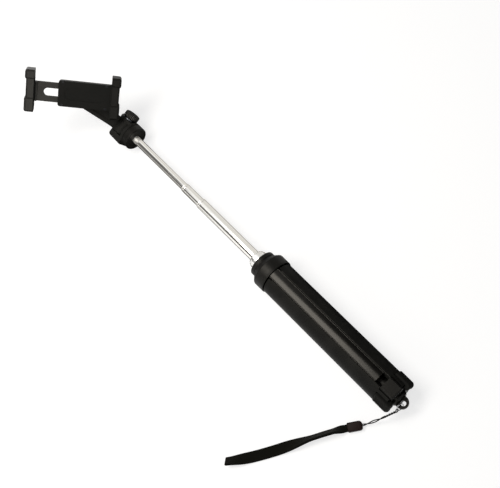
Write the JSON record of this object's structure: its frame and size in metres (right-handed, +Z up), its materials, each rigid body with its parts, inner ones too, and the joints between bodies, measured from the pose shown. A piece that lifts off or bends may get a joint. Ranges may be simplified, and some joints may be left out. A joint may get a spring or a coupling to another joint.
{
  "type": "tripod selfie stick",
  "caption": "Telescopic selfie stick with a handle of fold-out tripod legs, nested steel rods, a tilting head with side knob, a sliding phone clamp and a wrist strap.",
  "frame": {"origin": "bottom centre of the stick as it lies on a table, without its strap", "axes": "+X along the rods towards the phone clamp, +Z up from the table, +Y to the strap's side"},
  "size_m": [0.4813, 0.1817, 0.1],
  "materials": {
    "black_plastic": "satin black moulding",
    "bright_steel": "polished stainless steel",
    "aluminium_tube": "drawn tube",
    "bush_plastic": "moulded friction bush",
    "plain_steel": "plated steel",
    "black_rubber": "soft black rubber",
    "black_webbing": "woven polyester",
    "slider_plastic": "dark moulded slider"
  },
  "bodies": {
    "handle": {"collar": "black_plastic", "ferrule": "bright_steel", "column": "aluminium_tube", "spine": "black_plastic", "tail_cap": "black_plastic", "leg_pins": "plain_steel", "strap_ring": "plain_steel", "strap_cord": "black_webbing", "strap_slider": "slider_plastic", "strap_web": "black_webbing"},
    "leg_1": {"leg_1": "black_plastic", "foot_1": "black_rubber"},
    "leg_2": {"leg_2": "black_plastic", "foot_2": "black_rubber"},
    "leg_3": {"leg_3": "black_plastic", "foot_3": "black_rubber"},
    "lower_rod": {"lower_rod": "bright_steel", "lower_bush": "bush_plastic"},
    "middle_rod": {"middle_rod": "bright_steel", "middle_bush": "bush_plastic"},
    "upper_rod": {"upper_rod": "bright_steel", "upper_bush": "bush_plastic", "head_base": "black_plastic", "pan_screw": "plain_steel"},
    "head": {"clevis": "black_plastic", "tilt_nut": "plain_steel", "tilt_washer": "plain_steel"},
    "knob": {"tilt_knob": "black_plastic", "tilt_bolt": "plain_steel"},
    "arm": {"tilt_arm": "black_plastic", "swivel_pin": "plain_steel"},
    "clamp": {"clamp_body": "black_plastic", "clamp_cover": "black_plastic", "cover_screws": "plain_steel", "detent_spring": "plain_steel", "fixed_pad": "black_rubber"},
    "jaw": {"sliding_jaw": "black_plastic", "sliding_pad": "black_rubber"}
  },
  "joints": [
    {"name": "leg_1_hinge", "type": "hinge", "parent": "handle", "child": "leg_1", "pos_m": [-0.0752, -0.02587, 0.0237], "axis": [0, 0.5, 0.866], "range_deg": [0, 30]},
    {"name": "leg_2_hinge", "type": "hinge", "parent": "handle", "child": "leg_2", "pos_m": [-0.0752, -0.00613, 0.0237], "axis": [0, 0.5, -0.866], "range_deg": [0, 30]},
    {"name": "leg_3_hinge", "type": "hinge", "parent": "handle", "child": "leg_3", "pos_m": [-0.0752, -0.016, 0.0066], "axis": [0, -1, 0], "range_deg": [0, 30]},
    {"name": "lower_rod_slide", "type": "slide", "parent": "handle", "child": "lower_rod", "axis": [1, 0, 0], "range_m": [-0.0805, 0.045]},
    {"name": "middle_rod_slide", "type": "slide", "parent": "lower_rod", "child": "middle_rod", "axis": [1, 0, 0], "range_m": [-0.0242, 0.105]},
    {"name": "upper_rod_slide", "type": "slide", "parent": "middle_rod", "child": "upper_rod", "axis": [1, 0, 0], "range_m": [-0.0765, 0.043]},
    {"name": "head_pan", "type": "hinge", "parent": "upper_rod", "child": "head", "pos_m": [0.1512, -0.016, 0.018], "axis": [1, 0, 0], "continuous": true},
    {"name": "head_tilt", "type": "hinge", "parent": "head", "child": "arm", "pos_m": [0.161, -0.016, 0.018], "axis": [0, -0.9455, 0.3256], "range_deg": [-108, 21]},
    {"name": "knob_turn", "type": "hinge", "parent": "head", "child": "knob", "pos_m": [0.161, -0.02924, 0.02256], "axis": [0, -0.9455, 0.3256], "continuous": true},
    {"name": "clamp_swivel", "type": "hinge", "parent": "arm", "child": "clamp", "pos_m": [0.20445, -0.00253, 0.05712], "axis": [-0.6896, 0.2358, 0.6847], "range_deg": [-120, 59]},
    {"name": "jaw_slide", "type": "slide", "parent": "clamp", "child": "jaw", "axis": [0.6252, 0.6709, 0.3987], "range_m": [-0.017, 0.015]}
  ]
}
